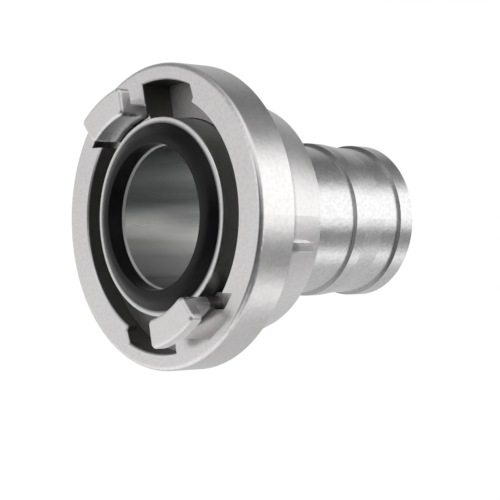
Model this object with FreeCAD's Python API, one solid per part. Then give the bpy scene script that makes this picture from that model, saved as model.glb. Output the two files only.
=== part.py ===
import FreeCAD, Part

import math
import os

# Quarter turn fire hose coupling half for a 52 mm hose, in millimetres.
# It stands on the end of its hose tail. +Z runs along the waterway towards the
# lugs, and the origin is the centre of the tail's end. A "depth" is measured
# back from the lug ring's front face, and angles run from +X towards +Y.
#
# Four pieces: a forged lug ring that turns freely on a turned hose tail, the
# split wire ring that keeps the two together, and a rubber seal in the tail.
# Radii are built up from the waterway outwards, wall by wall.

# Length of the whole, without the lugs that stand in front of the ring
face_height = 91.0

# Hose tail, from the waterway outwards
bore_radius = 22.9
bore_end_chamfer = 0.6
bore_lead_rise = 0.3
bore_lead_length = 0.9
tail_wall = 2.3
neck_wall = 5.6
neck_past_hub = 1.6
neck_end_chamfer = 1.5
collar_step = 3.3
collar_depth = 16.0
collar_edge_break = 0.2

# Barbs that hold the hose, counted from the tail's end
barb_count = 2
barb_pitch = 21.0
barb_end_length = 7.4
barb_rise = 1.0
barb_land = 4.2
barb_ramp = 9.0
barb_step_lean = 0.5
tail_end_chamfer = 1.2

# Seal seat in the collar
seat_wall = 1.3
seat_lip_catch = 0.6
seat_shelf = 2.3
seat_lip_depth = 3.0
seat_depth = 8.0

# Seal
seal_bevel = 3.4
seal_stand_out = 2.5
seal_bore_step = 0.5
seal_front_round = 5.0
seal_edge_break = 0.2

# Lugs, from the collar outwards: a stem with a hook that points outwards
lug_count = 2
lug_span = 31.2
lug_inset = 0.9
stem_width = 4.5
hook_thickness = 4.2
hook_corner_round = 1.8
stem_corner_round = 1.6
hook_edge_round = 1.2

# Lug ring, front: the lip, the track behind it and the way in
lip_width = 4.9
lip_thickness = 5.0
track_depth = 11.5
lip_lead_length = 9.0
lip_lead_rise = 1.2
lip_edge_break = 0.4

# Notches that let the other half's lugs in, each beside a lug
notch_centre_angle = 83.5
notch_play_angle = 2.6
notch_corner_cut = 3.0

# Hollow in the face round each lug's foot: a pocket beside the stop, then a
# shelf with a leaning outer wall that climbs to the face before the notch
pocket_depth = 6.0
pocket_width = 5.2
pocket_land = 0.6
shelf_depth = 3.0
shelf_run = 9.2
shelf_flare = 2.6

# Lug ring, outside
rim_wall = 5.4
rim_length = 14.0
rim_front_round = 1.6
rim_back_break = 0.5
rim_step = 4.4
hub_depth = 36.0
hub_end_wall = 8.8
hub_edge_break = 0.5
hub_neck_round = 2.0

# Spanner ribs on the hub, evenly round it
rib_count = 4
first_rib_angle = -13.0
rib_width = 3.2
rib_stand = 0.3
rib_end_depth = 27.0
rib_edge_break = 0.8

# Snap ring, a split ring of square wire
wire_size = 2.5
snap_from_hub_end = 6.5
snap_gap_angle = 24.0

# Clearances
running_clearance = 0.08
collar_clearance = 0.3
shoulder_clearance = 0.2
seal_clearance = 0.05
wire_seat_clearance = 0.05
wire_play = 0.25
stem_clearance = 1.2
hook_end_clearance = 1.3
hook_clearance = 0.4

# Hose tail and seal, worked out from the sizes above
tail_root_radius = bore_radius + tail_wall
barb_radius = tail_root_radius + barb_rise
neck_radius = bore_radius + neck_wall
collar_radius = neck_radius + collar_step
seat_inner_radius = bore_radius + seat_shelf
seat_undercut_radius = collar_radius - seat_wall
rim_lip_radius = seat_undercut_radius - seat_lip_catch
seal_front_radius = rim_lip_radius - seal_bevel
seal_bore_radius = bore_radius + seal_bore_step
snap_depth = hub_depth - snap_from_hub_end

# Lug ring, worked out from the tail that it turns on
ring_bore_radius = neck_radius + running_clearance
collar_seat_radius = collar_radius + collar_clearance
shoulder_depth = collar_depth + shoulder_clearance
lug_inner_radius = collar_seat_radius + lug_inset
stem_outer_radius = lug_inner_radius + stem_width
mouth_radius = stem_outer_radius + stem_clearance
track_radius = mouth_radius + lip_width
hook_outer_radius = track_radius - hook_end_clearance
pocket_radius = track_radius - pocket_land
rim_radius = track_radius + rim_wall
hub_front_radius = rim_radius - rim_step
hub_back_radius = neck_radius + hub_end_wall
rib_top_radius = hub_front_radius + rib_stand
hook_under_height = lip_thickness + hook_clearance
hook_top_height = hook_under_height + hook_thickness
notch_span = lug_span + 2 * notch_play_angle
notch_start_angle = notch_centre_angle - notch_span / 2
notch_end_angle = notch_centre_angle + notch_span / 2
lug_start_angle = notch_end_angle
lug_end_angle = lug_start_angle + lug_span
stop_offset = collar_seat_radius * math.sin(math.radians(lug_end_angle))

# A cutter runs this far past the face that it opens
past = 1.0

# Two places closer than this are the same
same = 0.01


def height(depth):
    return face_height - depth


def polar(radius, angle, z=0.0):
    turn = math.radians(angle)
    return FreeCAD.Vector(radius * math.cos(turn), radius * math.sin(turn), z)


def line(a, b):
    return Part.LineSegment(a, b).toShape()


def arc(radius, start, end, z):
    """Arc about the Z axis from one angle to another."""
    middle = polar(radius, (start + end) / 2, z)
    return Part.Arc(polar(radius, start, z), middle, polar(radius, end, z)).toShape()


def revolved(points):
    """Solid of revolution about Z, from (radius, depth) points."""
    corners = [FreeCAD.Vector(radius, 0, height(depth)) for radius, depth in points]
    outline = Part.makePolygon(corners + corners[:1])
    axis = FreeCAD.Vector(0, 0, 1)
    return Part.Face(outline).revolve(FreeCAD.Vector(0, 0, 0), axis, 360)


def disc(radius, front_depth, back_depth):
    """Plain cylinder between two depths."""
    length = back_depth - front_depth
    return Part.makeCylinder(radius, length, FreeCAD.Vector(0, 0, height(back_depth)))


def band(inner, outer, front_depth, back_depth):
    """Ring between two radii and two depths."""
    return disc(outer, front_depth, back_depth).cut(disc(inner, front_depth - past, back_depth + past))


def upright(edges, front_depth, back_depth):
    """Flat outline drawn at height 0, made a solid between two depths."""
    face = Part.Face(Part.Wire(edges))
    face.translate(FreeCAD.Vector(0, 0, height(back_depth)))
    return face.extrude(FreeCAD.Vector(0, 0, back_depth - front_depth))


def edges_at(solid, accept):
    """Edges whose middle point the test accepts."""
    found = []
    for edge in solid.Edges:
        middle = edge.valueAt((edge.FirstParameter + edge.LastParameter) / 2)
        if accept(edge, middle):
            found.append(edge)
    return found


def turned_edges(solid, radius, depth):
    """The circles of a turned solid at that radius and depth."""
    def on_circle(edge, middle):
        at_radius = abs(math.hypot(middle.x, middle.y) - radius) < same
        return at_radius and abs(middle.z - height(depth)) < same and len(edge.Vertexes) == 1
    return edges_at(solid, on_circle)


def stands_up(edge):
    ends = [vertex.Point for vertex in edge.Vertexes]
    if len(ends) != 2:
        return False
    run = ends[1] - ends[0]
    return run.Length > same and run.Length - abs(run.z) < same


def sector(inner, outer, start, end):
    """Edges of a ring sector between two angles."""
    return [
        line(polar(inner, start), polar(outer, start)),
        arc(outer, start, end, 0),
        line(polar(outer, end), polar(inner, end)),
        arc(inner, end, start, 0),
    ]


def repeated(solid):
    """The solid once for each lug, evenly about Z."""
    copies = []
    for number in range(lug_count):
        copy = solid.copy()
        copy.rotate(FreeCAD.Vector(0, 0, 0), FreeCAD.Vector(0, 0, 1), 360 / lug_count * number)
        copies.append(copy)
    return copies


def ring_blank():
    """The forged ring turned to its outside form, with its stepped bore."""
    outside = [
        (rim_radius, 0),
        (rim_radius, rim_length),
        (hub_front_radius, rim_length),
        (hub_back_radius, hub_depth),
    ]
    inside = [
        (ring_bore_radius + hub_edge_break, hub_depth),
        (ring_bore_radius, hub_depth - hub_edge_break),
        (ring_bore_radius, shoulder_depth),
        (collar_seat_radius, shoulder_depth),
        (collar_seat_radius, 0),
    ]
    blank = revolved(outside + inside)
    blank = blank.makeFillet(hub_neck_round, turned_edges(blank, hub_front_radius, rim_length))
    blank = blank.makeChamfer(hub_edge_break, turned_edges(blank, hub_back_radius, hub_depth))
    blank = blank.makeChamfer(rim_back_break, turned_edges(blank, rim_radius, rim_length))
    return blank.makeFillet(rim_front_round, turned_edges(blank, rim_radius, 0))


def snap_groove_in_ring():
    """Groove in the ring's bore that takes the outer half of the wire."""
    reach = wire_size / 2 + wire_play
    return disc(neck_radius + reach, snap_depth - reach, snap_depth + reach)


def notch_outline():
    """The way in for one of the other half's lugs, its far corner cut off."""
    cut_angle = math.degrees(notch_corner_cut / track_radius)
    past_corner = notch_start_angle + cut_angle
    low = track_radius - notch_corner_cut
    return [
        line(polar(collar_seat_radius, notch_start_angle), polar(low, notch_start_angle)),
        line(polar(low, notch_start_angle), polar(track_radius, past_corner)),
        arc(track_radius, past_corner, notch_end_angle, 0),
        line(polar(track_radius, notch_end_angle), polar(collar_seat_radius, notch_end_angle)),
        arc(collar_seat_radius, notch_end_angle, notch_start_angle, 0),
    ]


def lug_base_outline(outer):
    """Plan of the block under a lug. Its last side is the stop for the other half's lug."""
    stop_inner_angle = 180 - math.degrees(math.asin(stop_offset / collar_seat_radius))
    stop_outer_angle = 180 - math.degrees(math.asin(stop_offset / outer))
    return [
        line(polar(collar_seat_radius, notch_end_angle), polar(outer, notch_end_angle)),
        arc(outer, notch_end_angle, stop_outer_angle, 0),
        line(polar(outer, stop_outer_angle), polar(collar_seat_radius, stop_inner_angle)),
        arc(collar_seat_radius, stop_inner_angle, notch_end_angle, 0),
    ]


def lip_lead():
    """Wedge that thins the lip from behind where a lug starts under it."""
    start = FreeCAD.Vector(mouth_radius - past, 0, height(lip_thickness + past))
    wedge = Part.Face(Part.makePolygon([
        start,
        start + FreeCAD.Vector(0, -lip_lead_length, 0),
        start + FreeCAD.Vector(0, -lip_lead_length, past),
        start + FreeCAD.Vector(0, 0, past + lip_lead_rise),
        start,
    ])).extrude(FreeCAD.Vector(track_radius - mouth_radius + 2 * past, 0, 0))
    wedge.rotate(FreeCAD.Vector(0, 0, 0), FreeCAD.Vector(0, 0, 1), notch_start_angle)
    return wedge.common(disc(track_radius, 0, track_depth))


def across_lug(steps):
    """Prism along X behind the stop of the first lug, from (way past the stop, depth) points."""
    corners = [FreeCAD.Vector(-rim_radius, stop_offset + way, height(depth)) for way, depth in steps]
    outline = Part.makePolygon(corners + corners[:1])
    return Part.Face(outline).extrude(FreeCAD.Vector(rim_radius, 0, 0))


def lug_hollow():
    """Cutter for the hollow round a lug's foot: the pocket and the climbing shelf."""
    shelf_end = pocket_width + shelf_run
    pocket = across_lug([(0, -past), (0, pocket_depth),
                         (pocket_width, pocket_depth), (pocket_width, -past)])
    shelf = across_lug([(pocket_width - same, -past), (pocket_width - same, shelf_depth),
                        (pocket_width, shelf_depth), (shelf_end, 0), (shelf_end, -past)])
    wall_slope = shelf_flare / shelf_depth
    bowl = Part.makeCone(pocket_radius, pocket_radius + wall_slope * (shelf_depth + past),
                         shelf_depth + past, FreeCAD.Vector(0, 0, height(shelf_depth)))
    return pocket.common(disc(pocket_radius, -past, pocket_depth)).fuse(shelf.common(bowl))


def track_cut():
    """What the other half needs: the mouth, the track behind the lip and the notches."""
    mouth = disc(mouth_radius, -past, track_depth)
    track = disc(track_radius, lip_thickness, track_depth)
    notch = upright(notch_outline(), -past, track_depth)
    cut = mouth.fuse([track] + repeated(notch) + repeated(lip_lead()))
    base = upright(lug_base_outline(track_radius + past), -2 * past, track_depth + past)
    return cut.cut(Part.makeCompound(repeated(base)))


def lip_edges(ring):
    """The inner outline of the front face."""
    def on_outline(edge, middle):
        inside = math.hypot(middle.x, middle.y) < rim_radius - rim_front_round - same
        return inside and abs(middle.z - face_height) < same
    return edges_at(ring, on_outline)


def rounded_block(outline, front_depth, back_depth, corner_round):
    """Sector block with its upright corners rounded."""
    block = upright(outline, front_depth, back_depth)
    return block.makeFillet(corner_round, edges_at(block, lambda edge, middle: stands_up(edge)))


def lug():
    """One lug: a stem from the base block and the hook on top of it."""
    stem_outline = sector(lug_inner_radius, stem_outer_radius, lug_start_angle, lug_end_angle)
    stem = rounded_block(stem_outline, -hook_under_height - past, pocket_depth + past,
                         stem_corner_round)
    hook_outline = sector(lug_inner_radius, hook_outer_radius, lug_start_angle, lug_end_angle)
    hook = rounded_block(hook_outline, -hook_top_height, -hook_under_height, hook_corner_round)
    top = height(-hook_top_height)
    rim = edges_at(hook, lambda edge, middle: abs(middle.z - top) < same)
    return hook.makeFillet(hook_edge_round, rim).fuse(stem)


def rib(angle):
    """One spanner rib, from the back of the rim along the hub."""
    root_radius = hub_back_radius - hub_edge_break
    length = rib_end_depth - rim_length + rib_edge_break
    rise = rib_top_radius - root_radius
    block = Part.makeBox(rise, rib_width, length,
                         FreeCAD.Vector(root_radius, -rib_width / 2, height(rib_end_depth)))
    outer = edges_at(block, lambda edge, middle: middle.x > rib_top_radius - same)
    ends_free = [edge for edge in outer
                 if edge.BoundBox.ZMin < height(rib_end_depth) + rib_edge_break]
    block = block.makeChamfer(rib_edge_break, ends_free)
    block.rotate(FreeCAD.Vector(0, 0, 0), FreeCAD.Vector(0, 0, 1), angle)
    return block


def lug_ring():
    ring = ring_blank().cut(snap_groove_in_ring())
    ring = ring.cut(track_cut())
    ring = ring.makeChamfer(lip_edge_break, lip_edges(ring))
    ring = ring.cut(repeated(lug_hollow()))
    ribs = [rib(first_rib_angle + 360 / rib_count * number) for number in range(rib_count)]
    ring = ring.fuse(ribs + repeated(lug()))
    return ring.removeSplitter()


def snap_groove_in_tail():
    """Groove in the neck that takes the inner half of the wire."""
    reach = wire_size / 2 + wire_seat_clearance
    return band(neck_radius - reach, neck_radius + past, snap_depth - reach, snap_depth + reach)


def barb_section():
    """The hose end's outside from the neck to the tail end, as (radius, depth)."""
    points = []
    for number in range(barb_count):
        pitches_left = barb_count - 1 - number
        depth = face_height - barb_end_length - pitches_left * barb_pitch
        points.append((tail_root_radius, depth))
        points.append((barb_radius, depth + barb_step_lean))
        if pitches_left:
            land_end = depth + barb_step_lean + barb_land
            points.append((barb_radius, land_end))
            points.append((tail_root_radius, land_end + barb_ramp))
        else:
            points.append((barb_radius, face_height - tail_end_chamfer))
            points.append((barb_radius - tail_end_chamfer, face_height))
    return points


def hose_tail():
    neck_end = hub_depth + neck_past_hub
    outside = [
        (collar_radius - collar_edge_break, 0),
        (collar_radius, collar_edge_break),
        (collar_radius, collar_depth),
        (neck_radius, collar_depth),
        (neck_radius, neck_end),
        (tail_root_radius, neck_end + neck_end_chamfer),
    ]
    inside = [
        (bore_radius + bore_end_chamfer, face_height),
        (bore_radius, face_height - bore_end_chamfer),
        (bore_radius, seat_lip_depth + bore_lead_length),
        (bore_radius + bore_lead_rise, seat_lip_depth),
        (seat_inner_radius, seat_lip_depth),
        (seat_inner_radius, seat_depth),
        (seat_undercut_radius, seat_depth),
        (seat_undercut_radius, seat_lip_depth),
        (rim_lip_radius, seat_lip_depth),
        (rim_lip_radius, 0),
    ]
    return revolved(outside + barb_section() + inside).cut(snap_groove_in_tail())


def seal_ring():
    """Rubber seal: a foot held under the collar's lip, and a body that stands out in front."""
    foot_outer = seat_undercut_radius - seal_clearance
    foot_inner = seat_inner_radius + seal_clearance
    body_outer = rim_lip_radius - seal_clearance
    foot_front = seat_lip_depth + seal_clearance
    body_back = seat_lip_depth - seal_clearance
    seal = revolved([
        (foot_inner, seat_depth),
        (foot_outer, seat_depth),
        (foot_outer, foot_front),
        (body_outer, foot_front),
        (body_outer, 0),
        (seal_front_radius, -seal_stand_out),
        (seal_bore_radius, -seal_stand_out),
        (seal_bore_radius, body_back),
        (foot_inner, body_back),
    ])
    seal = seal.makeFillet(seal_front_round, turned_edges(seal, seal_front_radius, -seal_stand_out))
    return seal.makeChamfer(seal_edge_break, turned_edges(seal, seal_bore_radius, -seal_stand_out))


def snap_ring():
    """Square wire bent to a ring, with a gap to spring it in."""
    half = wire_size / 2
    ring = band(neck_radius - half, neck_radius + half, snap_depth - half, snap_depth + half)
    gap = upright(sector(neck_radius - wire_size, neck_radius + wire_size,
                         -snap_gap_angle / 2, snap_gap_angle / 2),
                  snap_depth - wire_size, snap_depth + wire_size)
    return ring.cut(gap)


pieces = {
    "lug_ring": lug_ring(),
    "hose_tail": hose_tail(),
    "seal_ring": seal_ring(),
    "snap_ring": snap_ring(),
}

os.makedirs("parts", exist_ok=True)
for name, shape in pieces.items():
    shape.exportStep("parts/" + name + ".step")
    print(name, "solids", len(shape.Solids), "volume %.0f" % shape.Volume, "valid", shape.isValid(),
          "box", [round(value, 2) for value in (shape.BoundBox.XMin, shape.BoundBox.YMin,
                                                shape.BoundBox.ZMin, shape.BoundBox.XMax,
                                                shape.BoundBox.YMax, shape.BoundBox.ZMax)])
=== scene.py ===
# %% [markdown]
# Quarter turn fire hose coupling, half of a pair.
#
# The real thing is four pieces. A forged aluminium ring with two hooked lugs
# turns freely on a turned aluminium hose tail, a rubber seal sits in the
# tail's collar, and a split wire ring inside keeps the two metal pieces
# together. All four come from the CAD model with their true shape, so this
# file gives them their finishes, and a plain white studio to stand in.

# %% Load the coupling
import math

import bpy
from mathutils import Matrix, Vector

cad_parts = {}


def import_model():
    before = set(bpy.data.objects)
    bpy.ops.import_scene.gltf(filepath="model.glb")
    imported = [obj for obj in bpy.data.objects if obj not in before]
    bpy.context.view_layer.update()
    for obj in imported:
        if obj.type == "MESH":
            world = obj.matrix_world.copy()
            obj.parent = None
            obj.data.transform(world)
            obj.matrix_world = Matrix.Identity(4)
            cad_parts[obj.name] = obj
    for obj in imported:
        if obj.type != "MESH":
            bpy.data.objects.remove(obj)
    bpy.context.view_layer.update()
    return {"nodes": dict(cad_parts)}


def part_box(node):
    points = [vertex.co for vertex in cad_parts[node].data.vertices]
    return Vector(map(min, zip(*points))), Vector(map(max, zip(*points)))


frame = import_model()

print("pieces:", ", ".join(sorted(frame["nodes"])))

# %% [markdown]
# The photograph looks at the ring's front face from one side, and the
# coupling lies level across the picture, its front at the left and its tail at
# the right. Here the coupling stands on its tail, so the camera is rolled
# instead of the part. Its upward direction is the part's +Y, and its line of
# sight is about 49 degrees off the waterway's axis. The place of the face's
# centre in the picture then fixes where the camera stands.

# %% Camera
view_angle = math.radians(48.71)
camera_distance = 0.500
face_centre_right = -0.0291
face_centre_up = 0.0105
lens_length = 113.4
sensor_size = 36.0

face_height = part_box("hose_tail")[1].z
face_centre = Vector((0, 0, face_height))

camera_right = Vector((math.cos(view_angle), 0, -math.sin(view_angle)))
camera_up = Vector((0, 1, 0))
camera_back = Vector((math.sin(view_angle), 0, math.cos(view_angle)))
camera_place = (face_centre - face_centre_right * camera_right
                - face_centre_up * camera_up + camera_distance * camera_back)

camera_data = bpy.data.cameras.new("photo_camera")
camera_data.lens = lens_length
camera_data.sensor_width = sensor_size
camera = bpy.data.objects.new("photo_camera", camera_data)
bpy.context.scene.collection.objects.link(camera)
camera_turn = Matrix((camera_right, camera_up, camera_back)).transposed()
camera.matrix_world = Matrix.LocRotScale(camera_place, camera_turn, None)
bpy.context.scene.camera = camera
print("camera stands at", [round(value, 4) for value in camera_place])

# %% [markdown]
# Every material here is a node tree. Writing out each node and each link would
# take pages, so a few short helpers do it: one starts a material, one adds a
# node and sets its inputs, and the others add the kinds of node that are
# needed again and again.

# %% Helpers for node trees
def new_material(name):
    """Material with an empty tree, its shader and its output."""
    material = bpy.data.materials.new(name)
    material.use_nodes = True
    tree = material.node_tree
    tree.nodes.clear()
    shader = tree.nodes.new("ShaderNodeBsdfPrincipled")
    output = tree.nodes.new("ShaderNodeOutputMaterial")
    tree.links.new(shader.outputs["BSDF"], output.inputs["Surface"])
    return material, tree, shader


def add_node(tree, kind, inputs=None, **settings):
    """Node with its settings, its input values and its links."""
    node = tree.nodes.new(kind)
    for name, value in settings.items():
        setattr(node, name, value)
    for name, value in (inputs or {}).items():
        if isinstance(value, bpy.types.NodeSocket):
            tree.links.new(value, node.inputs[name])
        else:
            node.inputs[name].default_value = value
    return node


def compute(tree, operation, first, second=0.0):
    """One sum, product or other operation, on one or two numbers."""
    node = add_node(tree, "ShaderNodeMath", {0: first, 1: second}, operation=operation)
    return node.outputs[0]


def mix_values(tree, share, first, second):
    """The first number where the share is 0, and the second where it is 1."""
    node = add_node(tree, "ShaderNodeMix", {0: share, 2: first, 3: second}, data_type="FLOAT")
    return node.outputs[0]


def mix_colours(tree, share, first, second):
    """The first colour where the share is 0, and the second where it is 1."""
    node = add_node(tree, "ShaderNodeMix", {0: share, 6: first, 7: second}, data_type="RGBA")
    return node.outputs[2]


def bump(tree, height, depth, under=None):
    """Bump of a real depth in metres, on top of another bump if one is given."""
    inputs = {"Height": height, "Distance": depth, "Strength": 1.0}
    if under is not None:
        inputs["Normal"] = under
    return add_node(tree, "ShaderNodeBump", inputs).outputs["Normal"]


def dress(node_name, material):
    """Puts a material in every slot of a CAD node."""
    for slot in frame["nodes"][node_name].material_slots:
        slot.material = material
    print(node_name, "wears", material.name)

# %% [markdown]
# A lathe and a drop forge treat a part by place: this radius is turned, that
# depth isn't. So the materials read Object coordinates, in metres, and work
# out how far a point is from the axis and how high it stands. The next helpers
# turn those numbers into a share from 0 to 1, with a soft edge, that tells one
# finish from the next.

# %% Helpers for places on the part
def object_parts(tree):
    """X, Y and Z of a point on the part, in metres."""
    place = add_node(tree, "ShaderNodeTexCoord").outputs["Object"]
    return add_node(tree, "ShaderNodeSeparateXYZ", {"Vector": place}).outputs


def axis_values(tree):
    """Distance from the waterway's axis, and height above the tail's end."""
    parts = object_parts(tree)
    across = compute(tree, "MULTIPLY", parts["X"], parts["X"])
    along = compute(tree, "MULTIPLY", parts["Y"], parts["Y"])
    radius = compute(tree, "SQRT", compute(tree, "ADD", across, along))
    return radius, parts["Z"]


def towards(tree, angle):
    """From -1 to 1: how far a point lies to the side given, in degrees round the axis."""
    parts = object_parts(tree)
    radius = axis_values(tree)[0]
    sideways = compute(tree, "MULTIPLY", parts["X"], math.cos(math.radians(angle)))
    upwards = compute(tree, "MULTIPLY", parts["Y"], math.sin(math.radians(angle)))
    return compute(tree, "DIVIDE", compute(tree, "ADD", sideways, upwards), radius)


def step_between(tree, value, low, high, at_low=0.0, at_high=1.0):
    """Smooth change from one number to another as a value goes from low to high."""
    node = add_node(tree, "ShaderNodeMapRange", {
        "Value": value, "From Min": low, "From Max": high,
        "To Min": at_low, "To Max": at_high,
    }, interpolation_type="SMOOTHSTEP")
    return node.outputs["Result"]


def after(tree, value, start, width):
    """0 up to the start, and 1 once the value is past it by the width."""
    return step_between(tree, value, start, start + width)


def before(tree, value, start, width):
    """1 up to the start, and 0 once the value is past it by the width."""
    return step_between(tree, value, start, start + width, 1.0, 0.0)


def both(tree, first, second):
    """1 only where both shares are 1."""
    return compute(tree, "MULTIPLY", first, second)


def upright_share(tree, upright=0.2, lying=0.5):
    """1 on surfaces that stand along the waterway, 0 on those that lie across it."""
    normal = add_node(tree, "ShaderNodeTexCoord").outputs["Normal"]
    facing = add_node(tree, "ShaderNodeSeparateXYZ", {"Vector": normal}).outputs["Z"]
    return step_between(tree, compute(tree, "ABSOLUTE", facing), upright, lying, 1.0, 0.0)

# %% [markdown]
# Metal is never one even tone. A picture of metal could be wrapped round the
# part, but it would stretch on the curves. Noise doesn't, and it keeps its real
# size. It makes round spots for grain and mottling, long streaks for what water
# leaves, and fine lines that follow the radius or the height, as a lathe tool
# leaves them.

# %% Patterns in the metal
spot_colour = (0.30, 0.30, 0.30, 1)
spot_size = 0.0013
wander_size = 0.05
line_wander = 0.35


def speckle(tree, size, detail=3.0):
    """Noise whose spots are about the given size, in metres."""
    node = add_node(tree, "ShaderNodeTexNoise", {
        "Vector": add_node(tree, "ShaderNodeTexCoord").outputs["Object"],
        "Scale": 1.0 / size, "Detail": detail, "Roughness": 0.55,
    })
    return node.outputs["Fac"]


def follow_noise(tree, noise, at_low, at_high):
    """A number that goes from one value to another as a noise rises."""
    return step_between(tree, noise, 0.2, 0.8, at_low, at_high)


def long_streaks(tree, width, stretch):
    """Noise about as wide as given, drawn out along the waterway."""
    parts = object_parts(tree)
    place = add_node(tree, "ShaderNodeCombineXYZ", {
        "X": parts["X"], "Y": parts["Y"], "Z": compute(tree, "DIVIDE", parts["Z"], stretch),
    }).outputs["Vector"]
    node = add_node(tree, "ShaderNodeTexNoise", {
        "Vector": place, "Scale": 1.0 / width, "Detail": 2.0, "Roughness": 0.5,
    })
    return node.outputs["Fac"]


def mottled(tree, colour, depth):
    """The colour with darker spots, as strong as the depth says."""
    spots = step_between(tree, speckle(tree, spot_size, 2.0), 0.40, 0.66, 0.0, depth)
    return mix_colours(tree, spots, colour, spot_colour)


def turned_lines(tree, value, pitch):
    """Fine irregular tool lines across a value, such as the radius or the height."""
    line_place = add_node(tree, "ShaderNodeCombineXYZ", {
        "X": compute(tree, "DIVIDE", value, pitch),
        "Y": compute(tree, "MULTIPLY", speckle(tree, wander_size), line_wander),
    }).outputs["Vector"]
    node = add_node(tree, "ShaderNodeTexNoise", {
        "Vector": line_place, "Scale": 1.0, "Detail": 2.0, "Roughness": 0.6,
    })
    return node.outputs["Fac"]

# %% [markdown]
# The lug ring is forged and blasted, then turned where it has to be true and
# where it shows: on its front face, its rim and its hub. The channel behind
# the lip, which the other half's lugs run in, is hard to reach and to clean,
# so its walls are dull and its floor is rough; the walls' dark colour is painted
# shade. Each finish could be a material of its own, but their borders don't
# follow the edges of faces. One material does it all, as the radius and the depth behind the face
# tell the places apart.

# %% Places on the ring
collar_radius = 0.0318
mouth_radius = 0.0387
track_radius = 0.0436
track_floor = face_height - 0.0115
floor_reach = 0.0003
soft_edge = 0.0008

rim_back = 0.0770
# Painted shade in the corner where the hub meets the back of the rim.
corner_shade_start = 0.0698
corner_shade_radius = 0.0460
corner_shade_most = 0.50
# Painted shade on the steep walls of the hollows beside the lugs, down to this depth.
hollow_shade_depth = 0.0085


def inside_track(tree, radius):
    """1 out to the channel's outer wall, and 0 past it."""
    return before(tree, radius, track_radius + 0.0001, 0.0007)


def channel_share(tree, radius, height):
    """1 on the walls of the channel, from just behind the face down to its floor."""
    past_collar = after(tree, radius, collar_radius - 0.0005, 0.0003)
    behind_face = before(tree, height, face_height - 0.0012, soft_edge)
    above_floor = after(tree, height, track_floor - 2 * floor_reach, floor_reach)
    across = both(tree, past_collar, inside_track(tree, radius))
    zone = both(tree, across, both(tree, behind_face, above_floor))
    return both(tree, zone, upright_share(tree))


def channel_floor_share(tree, radius, height):
    """1 on the floor of the channel."""
    above = after(tree, height, track_floor - 2 * floor_reach, floor_reach)
    below = before(tree, height, track_floor + floor_reach, floor_reach)
    return both(tree, both(tree, above, below), inside_track(tree, radius))


def turned_share(tree, radius, height):
    """1 where the ring is turned: face, rim, hub and all that lies behind the channel."""
    off_lugs = after(tree, radius, mouth_radius + 0.0004, soft_edge)
    not_above = before(tree, height, face_height + 0.0001, 0.0003)
    below_track = before(tree, height, track_floor, floor_reach)
    return compute(tree, "MAXIMUM", both(tree, off_lugs, not_above), below_track)


def rim_corner_shade_share(tree, radius, height):
    """Painted shade: most in the corner where the hub meets the back of the rim, and 0 away from it.
    """
    behind_rim = both(tree, after(tree, height, corner_shade_start, 0.0024),
                      before(tree, height, rim_back, 0.0002))
    near_hub = step_between(tree, radius, corner_shade_radius, corner_shade_radius + 0.0020,
                            corner_shade_most, 0.0)
    return both(tree, behind_rim, near_hub)


def hollow_shade_share(tree, radius, height):
    """Painted shade: 1 on the steep walls of the hollows beside the lugs."""
    below_face = both(tree, after(tree, height, face_height - hollow_shade_depth, 0.0005),
                      before(tree, height, face_height - 0.0010, 0.0005))
    in_hollow = both(tree, below_face, inside_track(tree, radius))
    return both(tree, in_hollow, upright_share(tree, 0.80, 0.88))

# %% [markdown]
# The ring's colour is built up in layers, each mixed over the last by one of
# those shares: turned or blasted metal first, then painted shade in the corner
# and the hollows, and the dull channel walls, painted dark as shade, last. Its
# turned faces carry concentric lines less than a hundredth of a millimetre deep,
# and the lugs keep the soft grain of the blasted forging. Lines this fine could
# only be cut into the mesh with millions of faces, so they are a bump.

# %% Forged aluminium
turned_dark, turned_light = (0.85, 0.835, 0.83, 1), (0.92, 0.91, 0.905, 1)
blasted_dark, blasted_light = (0.90, 0.885, 0.88, 1), (0.95, 0.94, 0.935, 1)
blasted_dust = (0.80, 0.79, 0.785, 1)
# The channel's colours are painted shade: its walls are darkened where shade falls in the channel.
channel_shade_dark, channel_shade_light = (0.16, 0.16, 0.155, 1), (0.25, 0.245, 0.235, 1)
# Painted shade for the corner behind the rim.
corner_shade = (0.20, 0.20, 0.20, 1)
# Painted shade for the hollows' walls.
hollow_shade = (0.45, 0.45, 0.45, 1)
dust_share = 0.25
ring_mottling = 0.10
blasted_roughness = (0.36, 0.44)
turned_roughness = (0.26, 0.32)
channel_roughness = 0.50
channel_floor_roughness = 0.70
ring_grain_size = 0.0011
ring_patch_size = 0.012
ring_line_pitch = 0.00028
ring_line_depth = 0.000008
wave_size = 0.0028
wave_depth = 0.000045
blast_depth = 0.00010


def ring_colour(tree, radius, height, turned, channel, grain, patches):
    """Bare metal first, then painted shade in the corner and hollows, then the dull channel, painted
    dark as shade, over all.
    """
    tint = mottled(tree, mix_colours(tree, patches, turned_dark, turned_light), ring_mottling)
    frosty = mix_colours(tree, patches, blasted_dark, blasted_light)
    dust = step_between(tree, grain, 0.35, 0.75, 0.0, dust_share)
    clean = mix_colours(tree, turned, mix_colours(tree, dust, frosty, blasted_dust), tint)
    clean = mix_colours(tree, rim_corner_shade_share(tree, radius, height), clean, corner_shade)
    clean = mix_colours(tree, hollow_shade_share(tree, radius, height), clean, hollow_shade)
    dull_and_shaded = mix_colours(tree, patches, channel_shade_dark, channel_shade_light)
    return mix_colours(tree, channel, clean, dull_and_shaded)


def ring_roughness(tree, radius, height, turned, channel, grain, patches):
    rough = follow_noise(tree, grain, *blasted_roughness)
    smooth = follow_noise(tree, patches, *turned_roughness)
    roughness = mix_values(tree, turned, rough, smooth)
    on_floor = channel_floor_share(tree, radius, height)
    roughness = mix_values(tree, on_floor, roughness, channel_floor_roughness)
    return mix_values(tree, channel, roughness, channel_roughness)


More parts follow.
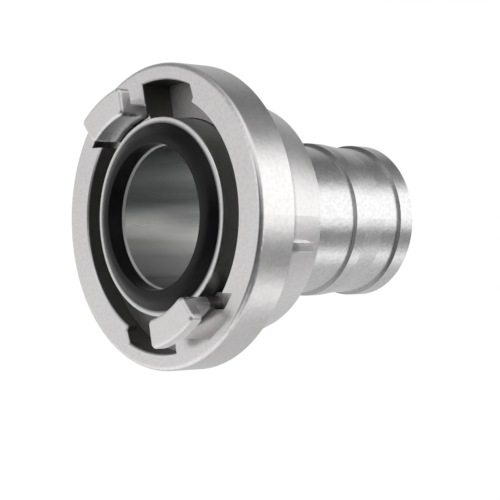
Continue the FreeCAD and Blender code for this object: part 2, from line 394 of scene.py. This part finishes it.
def ring_bump(tree, radius, height, turned, grain):
    lines = compute(tree, "ADD", turned_lines(tree, radius, ring_line_pitch),
                    turned_lines(tree, height, ring_line_pitch))
    waves = bump(tree, both(tree, speckle(tree, wave_size, 2.0), turned), wave_depth)
    lined = bump(tree, both(tree, lines, turned), ring_line_depth, waves)
    blasted = both(tree, grain, compute(tree, "SUBTRACT", 1.0, turned))
    return bump(tree, blasted, blast_depth, lined)


def forged_aluminium():
    material, tree, shader = new_material("forged_aluminium")
    radius, height = axis_values(tree)
    turned = turned_share(tree, radius, height)
    channel = channel_share(tree, radius, height)
    grain = speckle(tree, ring_grain_size)
    patches = speckle(tree, ring_patch_size)
    colour = ring_colour(tree, radius, height, turned, channel, grain, patches)
    roughness = ring_roughness(tree, radius, height, turned, channel, grain, patches)
    tree.links.new(colour, shader.inputs["Base Color"])
    tree.links.new(roughness, shader.inputs["Roughness"])
    tree.links.new(ring_bump(tree, radius, height, turned, grain), shader.inputs["Normal"])
    shader.inputs["Metallic"].default_value = 1.0
    return material


dress("lug_ring", forged_aluminium())

# %% [markdown]
# The hose tail is turned all over, inside and out. Its outside is bright, with
# painted shade on the steps of the barbs and on the inner edge of the collar's
# lip. The waterway is bored but not polished, and water stains it in long
# streaks. Over these, two opposite sides carry painted light, the sides between
# them painted shade, and a painted light run starts at its front. Radius,
# height and side find these places.

# %% Places on the tail
bore_edge_radius = 0.0233
lead_height = face_height - 0.0039
past_neck_radius = 0.0290
lip_radius = 0.0300
lip_edge_width = 0.0010
barbs_start = 0.0015
barbs_end = 0.0400
# Painted light and shade in the bore: this side and its opposite are lit, the sides between are
# shaded, and the run is a painted light streak. The noise streaks are water stains.
bore_lit_side = -140
streak_weight = 0.24
fully_dark = 0.05
fully_light = 1.15
run_side = -176
run_edge_cosine = 0.965
run_strength = 0.45
run_start_height = 0.058
run_fade_length = 0.020


def lip_edge_shade_share(tree, radius):
    """Painted shade: 1 on the inner edge of the collar's lip, fading outwards."""
    past_neck = after(tree, radius, past_neck_radius - 0.0001, 0.0001)
    return both(tree, past_neck, before(tree, radius, lip_radius, lip_edge_width))


def barb_step_shade_share(tree, height):
    """Painted shade: 1 on the steps of the barbs, which lie across the waterway."""
    on_barbs = both(tree, after(tree, height, barbs_start, 0.0005),
                    before(tree, height, barbs_end, 0.0010))
    return both(tree, on_barbs, compute(tree, "SUBTRACT", 1.0, upright_share(tree)))


def bore_lit_share(tree, height, streaks):
    """Painted light and shade with stains: 1 where the bore is painted lit and clean, 0 where it
    carries painted shade and stains.
    """
    sides = compute(tree, "POWER", compute(tree, "ABSOLUTE", towards(tree, bore_lit_side)), 2.0)
    streaked = step_between(tree, streaks, 0.3, 0.7, -streak_weight, streak_weight)
    lit_and_streaked = compute(tree, "ADD", sides, streaked)
    run_across = step_between(tree, towards(tree, run_side), run_edge_cosine, 1.0, 0.0, run_strength)
    run = both(tree, run_across, after(tree, height, run_start_height, run_fade_length))
    return step_between(tree, compute(tree, "ADD", lit_and_streaked, run), fully_dark, fully_light)

# %% [markdown]
# The tail's finish is layered as the ring's is: bright turned metal, the dull
# collar where it forms the channel's inner wall, painted dark as shade, then
# painted shade on the lip's edge and the barbs' steps, and at last the bore,
# with its painted light and shade, and its rough lead at the front, painted pale
# as a highlight. A lathe cuts it all, so its lines run round the whole tail.

# %% Turned aluminium
tail_dark, tail_light = (0.81, 0.81, 0.81, 1), (0.88, 0.88, 0.88, 1)
# The collar's colours are painted shade on the channel's inner wall.
collar_shade_dark, collar_shade_light = (0.42, 0.43, 0.43, 1), (0.52, 0.525, 0.52, 1)
# The bore's dark colour is both painted shade and water stain; its light colour is painted light on
# clean metal.
bore_shade_and_stain, bore_lit_and_clean = (0.42, 0.43, 0.435, 1), (0.96, 0.955, 0.94, 1)
# Painted shade on the inner edge of the collar's lip.
lip_shade = (0.20, 0.20, 0.20, 1)
# Painted shade on the barbs' steps.
barb_step_shade = (0.36, 0.36, 0.365, 1)
# The lead's chamfer is real, and its pale colour is a painted highlight on it.
lead_highlight_colour = (0.97, 0.97, 0.96, 1)
tail_mottling = 0.14
outside_roughness = (0.22, 0.28)
bore_roughness = (0.26, 0.36)
collar_roughness = 0.45
lead_roughness = 0.70
streak_width = 0.0050
streak_stretch = 14.0
tail_patch_size = 0.014
tail_grain_size = 0.0009
tail_grain_depth = 0.00002
tail_line_pitch = 0.00035
tail_line_depth = 0.000009


def tail_colour(tree, radius, height, channel, in_bore, at_lead, streaks, patches):
    """The outside with its painted shade, and the bore with its stains and painted light and shade.
    """
    bright = mottled(tree, mix_colours(tree, patches, tail_dark, tail_light), tail_mottling)
    dull_and_shaded = mix_colours(tree, patches, collar_shade_dark, collar_shade_light)
    outside = mix_colours(tree, channel, bright, dull_and_shaded)
    outside = mix_colours(tree, lip_edge_shade_share(tree, radius), outside, lip_shade)
    outside = mix_colours(tree, barb_step_shade_share(tree, height), outside, barb_step_shade)
    bore_tone = mix_colours(tree, bore_lit_share(tree, height, streaks), bore_shade_and_stain, bore_lit_and_clean)
    inside = mix_colours(tree, at_lead, bore_tone, lead_highlight_colour)
    return mix_colours(tree, in_bore, outside, inside)


def tail_roughness(tree, channel, in_bore, at_lead, streaks, patches):
    smooth = follow_noise(tree, patches, *outside_roughness)
    bored = follow_noise(tree, streaks, *bore_roughness)
    outer = mix_values(tree, channel, smooth, collar_roughness)
    return mix_values(tree, in_bore, outer, mix_values(tree, at_lead, bored, lead_roughness))


def tail_bump(tree, radius, height):
    lines = compute(tree, "ADD", turned_lines(tree, height, tail_line_pitch),
                    turned_lines(tree, radius, tail_line_pitch))
    waves = bump(tree, speckle(tree, wave_size, 2.0), wave_depth)
    grain = bump(tree, speckle(tree, tail_grain_size), tail_grain_depth, waves)
    return bump(tree, lines, tail_line_depth, grain)


def turned_aluminium():
    material, tree, shader = new_material("turned_aluminium")
    radius, height = axis_values(tree)
    patches = speckle(tree, tail_patch_size)
    streaks = long_streaks(tree, streak_width, streak_stretch)
    channel = channel_share(tree, radius, height)
    in_bore = before(tree, radius, bore_edge_radius - 0.0001, 0.0002)
    at_lead = after(tree, height, lead_height - 0.00005, 0.0001)
    colour = tail_colour(tree, radius, height, channel, in_bore, at_lead, streaks, patches)
    roughness = tail_roughness(tree, channel, in_bore, at_lead, streaks, patches)
    tree.links.new(colour, shader.inputs["Base Color"])
    tree.links.new(roughness, shader.inputs["Roughness"])
    tree.links.new(tail_bump(tree, radius, height), shader.inputs["Normal"])
    shader.inputs["Metallic"].default_value = 1.0
    return material


dress("hose_tail", turned_aluminium())

# %% [markdown]
# The seal is moulded rubber, nearly black. What light it shows is gloss, not
# colour: a low index of refraction keeps that gloss weak, and a little sheen
# stands for the dull bloom on its rounded face.

# %% Seal rubber
rubber_dark, rubber_light = (0.003, 0.003, 0.004, 1), (0.007, 0.007, 0.009, 1)
bloom_size = 0.006
rubber_roughness = (0.30, 0.40)
rubber_index = 1.32
rubber_sheen = 0.30
rubber_sheen_roughness = 0.30
mould_grain_size = 0.0007
mould_grain_depth = 0.00003


def seal_rubber():
    material, tree, shader = new_material("seal_rubber")
    bloom = speckle(tree, bloom_size)
    colour = mix_colours(tree, bloom, rubber_dark, rubber_light)
    roughness = follow_noise(tree, bloom, *rubber_roughness)
    grain = bump(tree, speckle(tree, mould_grain_size), mould_grain_depth)
    tree.links.new(colour, shader.inputs["Base Color"])
    tree.links.new(roughness, shader.inputs["Roughness"])
    tree.links.new(grain, shader.inputs["Normal"])
    shader.inputs["IOR"].default_value = rubber_index
    shader.inputs["Sheen Weight"].default_value = rubber_sheen
    shader.inputs["Sheen Roughness"].default_value = rubber_sheen_roughness
    return material


dress("seal_ring", seal_rubber())

# %% [markdown]
# The split ring is bright drawn wire. It lies in its groove between the ring
# and the tail, where only a cut through the coupling would show it.

# %% Spring wire
wire_dark, wire_light = (0.56, 0.56, 0.57, 1), (0.66, 0.66, 0.67, 1)
wire_roughness = (0.25, 0.35)
wire_grain_size = 0.0015


def spring_wire():
    material, tree, shader = new_material("spring_wire")
    drawn = speckle(tree, wire_grain_size)
    colour = mix_colours(tree, drawn, wire_dark, wire_light)
    roughness = follow_noise(tree, drawn, *wire_roughness)
    tree.links.new(colour, shader.inputs["Base Color"])
    tree.links.new(roughness, shader.inputs["Roughness"])
    shader.inputs["Metallic"].default_value = 1.0
    return material


dress("snap_ring", spring_wire())

# %% [markdown]
# The coupling stands on a plain white floor. A floor could be lit until it is
# white, but that light would wash out the metal too. So the camera sees a floor
# that is white by itself, with a faint shadow, and reflections and the light
# from below pass through it, so the metal can show a sky that goes all round.

# %% Floor
floor_half_size = 6.0
floor_white_share = 0.85
floor_white = 1.12
floor_paint = (0.9, 0.9, 0.9, 1)


def floor_material():
    """White to the camera with a faint shadow, and open to what the metal reflects."""
    material, tree, shader = new_material("white_floor")
    tree.nodes.remove(shader)
    output = tree.nodes["Material Output"]
    path = add_node(tree, "ShaderNodeLightPath").outputs
    paint = add_node(tree, "ShaderNodeBsdfDiffuse", {"Color": floor_paint})
    paper = add_node(tree, "ShaderNodeEmission", {"Color": (1, 1, 1, 1), "Strength": floor_white})
    shown = compute(tree, "MULTIPLY", path["Is Camera Ray"], floor_white_share)
    lit = add_node(tree, "ShaderNodeMixShader", {
        0: shown, 1: paint.outputs["BSDF"], 2: paper.outputs["Emission"]})
    opening = add_node(tree, "ShaderNodeBsdfTransparent")
    let_through = compute(tree, "MAXIMUM", path["Is Glossy Ray"], path["Is Shadow Ray"])
    mixed = add_node(tree, "ShaderNodeMixShader", {
        0: let_through, 1: lit.outputs["Shader"], 2: opening.outputs["BSDF"]})
    tree.links.new(mixed.outputs["Shader"], output.inputs["Surface"])
    return material


bpy.ops.object.select_all(action="DESELECT")
bpy.ops.mesh.primitive_plane_add(size=2 * floor_half_size)
floor = bpy.context.object
floor.name = "floor"
floor.data.materials.append(floor_material())
print("floor is", 2 * floor_half_size, "m wide")

# %% [markdown]
# Metal shows its surroundings, so what the coupling needs most is something to
# reflect. The sky's brightness changes round the part's axis, in four rings
# from straight down to overhead. Its lighter and darker sides give the rim and
# the tail the soft bands of the photograph, as a light panel on one side and a
# dark room on the other would. The camera itself sees plain white.

# %% Sky
# Each stop is degrees from +X towards +Y, and a brightness.
down_stops = ((-180, 0.70), (-120, 0.70), (-75, 0.42), (-45, 0.25), (-20, 0.55),
              (5, 1.25), (70, 1.25), (95, 0.25), (140, 0.20), (180, 0.70))
below_stops = ((-180, 0.70), (-145, 0.54), (-100, 0.50), (-75, 0.52), (-58, 1.20),
               (-42, 0.36), (-20, 0.16), (-4, 1.20), (42, 1.20), (62, 0.26),
               (100, 0.14), (120, 0.32), (180, 0.70))
above_stops = ((-180, 0.68), (-140, 0.95), (-80, 0.85), (-45, 0.12), (0, 0.10), (40, 0.85),
               (65, 1.00), (88, 0.50), (115, 0.24), (145, 0.26), (165, 0.60), (180, 0.68))
overhead_stops = ((-180, 0.85), (-145, 0.25), (-110, 0.02), (45, 0.02), (75, 0.90),
                  (120, 1.10), (160, 0.85), (180, 0.85))

# Each ring takes over from the one under it as the direction's Z rises.
higher_rings = (("below", below_stops, -0.96, -0.75),
                ("above", above_stops, -0.40, 0.20),
                ("overhead", overhead_stops, 0.66, 0.95))


def sky_ring(tree, azimuth, name, stops):
    """Brightness that depends on the direction round the part's axis."""
    ramp = add_node(tree, "ShaderNodeValToRGB", {"Fac": azimuth}, label=name)
    elements = ramp.color_ramp.elements
    while len(elements) < len(stops):
        elements.new(0.5)
    for element, (degrees, brightness) in zip(elements, stops):
        element.position = (degrees + 180) / 360
        element.color = (brightness, brightness, brightness, 1)
    return ramp.outputs["Color"]


def build_world():
    world = bpy.data.worlds.new("studio")
    bpy.context.scene.world = world
    world.use_nodes = True
    tree = world.node_tree
    place = add_node(tree, "ShaderNodeTexCoord").outputs["Generated"]
    parts = add_node(tree, "ShaderNodeSeparateXYZ", {"Vector": place}).outputs
    turn = compute(tree, "ARCTAN2", parts["Y"], parts["X"])
    azimuth = compute(tree, "ADD", compute(tree, "DIVIDE", turn, 2 * math.pi), 0.5)
    sky = sky_ring(tree, azimuth, "straight down", down_stops)
    for name, stops, low, high in higher_rings:
        lift = step_between(tree, parts["Z"], low, high)
        sky = mix_colours(tree, lift, sky, sky_ring(tree, azimuth, name, stops))
    path = add_node(tree, "ShaderNodeLightPath").outputs
    shown = mix_colours(tree, path["Is Camera Ray"], sky, (1, 1, 1, 1))
    background = tree.nodes["Background"]
    tree.links.new(shown, background.inputs["Color"])
    background.inputs["Strength"].default_value = 1.0


build_world()
bpy.context.scene.view_settings.view_transform = "Standard"
print("sky has", 1 + len(higher_rings), "rings")
